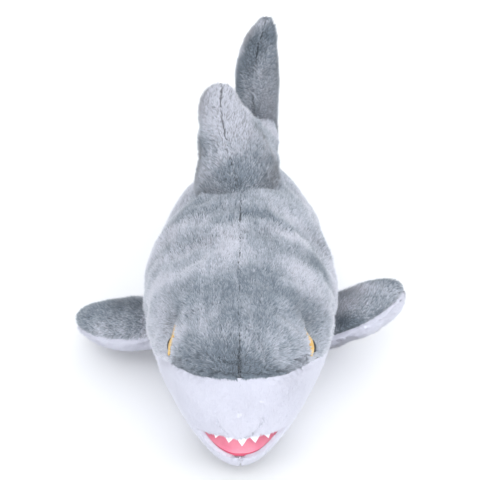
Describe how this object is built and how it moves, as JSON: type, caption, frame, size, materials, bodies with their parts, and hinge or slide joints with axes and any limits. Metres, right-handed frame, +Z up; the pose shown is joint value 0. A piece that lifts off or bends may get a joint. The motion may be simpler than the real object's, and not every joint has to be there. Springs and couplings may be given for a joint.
{
  "type": "plush shark",
  "caption": "Plush shark lying on its belly, grey plush back and white plush front and belly, with an open pink mouth and felt teeth.",
  "frame": {"origin": "centre of the bounding box at its bottom, where the belly rests", "axes": "-Y out of the nose, +Z up through the dorsal fin, +X to the side of the fin that is raised"},
  "size_m": [0.2238, 0.3849, 0.1623],
  "materials": {
    "plush_grey": "short brushed pile",
    "plush_white": "short brushed pile",
    "mouth_pink": "soft",
    "felt_white": "felt",
    "eye_gold": "satin",
    "pupil_black": "satin",
    "seam_thread": "matte",
    "white_thread": "matte",
    "stuffing": "matte"
  },
  "bodies": {
    "torso": {"head_stuffing": "stuffing", "body_stuffing": "stuffing", "back_panel_left": "plush_grey", "back_panel_right": "plush_grey", "belly_panel": "plush_white", "snout_panel_left": "plush_white", "snout_panel_right": "plush_white", "spine_seam": "seam_thread", "closing_stitches": "white_thread", "palate_lining": "mouth_pink", "teeth": "felt_white", "eye_left": "eye_gold", "eye_right": "eye_gold", "pupil_left": "pupil_black", "pupil_right": "pupil_black"},
    "jaw": {"jaw_stuffing": "stuffing", "jaw_panel_left": "plush_white", "jaw_panel_right": "plush_white", "mouth_floor_lining": "mouth_pink"},
    "tail": {"tail_stuffing": "stuffing", "tail_panel_left": "plush_grey", "tail_panel_right": "plush_grey", "tail_under_panel": "plush_white"},
    "tail_fin": {"tail_fin_stuffing": "stuffing", "tail_fin_panel_left": "plush_grey", "tail_fin_panel_right": "plush_grey"},
    "dorsal_fin": {"dorsal_stuffing": "stuffing", "dorsal_panel_left": "plush_grey", "dorsal_panel_right": "plush_grey"},
    "second_dorsal_fin": {"second_dorsal_stuffing": "stuffing", "second_dorsal_panel_left": "plush_grey", "second_dorsal_panel_right": "plush_grey"},
    "left_pectoral_fin": {"pectoral_left_stuffing": "stuffing", "pectoral_left_top_panel": "plush_grey", "pectoral_left_under_panel": "plush_white"},
    "right_pectoral_fin": {"pectoral_right_stuffing": "stuffing", "pectoral_right_top_panel": "plush_grey", "pectoral_right_under_panel": "plush_white"}
  },
  "joints": [
    {"name": "jaw_press", "type": "hinge", "parent": "torso", "child": "jaw", "pos_m": [0, -0.148, 0.03], "axis": [1, 0, 0], "range_deg": [-15, 7], "stiffness_Nm_per_rad": 0.3},
    {"name": "tail_bend", "type": "hinge", "parent": "torso", "child": "tail", "pos_m": [0.0065, 0.062, 0.05], "axis": [0, 0, 1], "range_deg": [-25, 25], "stiffness_Nm_per_rad": 0.4},
    {"name": "tail_fin_bend", "type": "hinge", "parent": "tail", "child": "tail_fin", "pos_m": [0.0175, 0.151, 0.048], "axis": [0, 0, 1], "range_deg": [-28, 28], "stiffness_Nm_per_rad": 0.15},
    {"name": "dorsal_lean", "type": "hinge", "parent": "torso", "child": "dorsal_fin", "pos_m": [0, -0.012, 0.1166], "axis": [0, 0.9903, -0.1392], "range_deg": [-25, 25], "stiffness_Nm_per_rad": 0.3},
    {"name": "second_dorsal_lean", "type": "hinge", "parent": "tail", "child": "second_dorsal_fin", "pos_m": [0.0095, 0.084, 0.0826], "axis": [0, 0.9135, -0.4067], "range_deg": [-25, 25], "stiffness_Nm_per_rad": 0.05},
    {"name": "left_pectoral_lift", "type": "hinge", "parent": "torso", "child": "left_pectoral_fin", "pos_m": [-0.059, -0.068, 0.027], "axis": [0, 1, 0], "range_deg": [-8, 40], "stiffness_Nm_per_rad": 0.3},
    {"name": "right_pectoral_lift", "type": "hinge", "parent": "torso", "child": "right_pectoral_fin", "pos_m": [0.059, -0.068, 0.027], "axis": [0, -1, 0], "range_deg": [-20, 25], "stiffness_Nm_per_rad": 0.3}
  ]
}
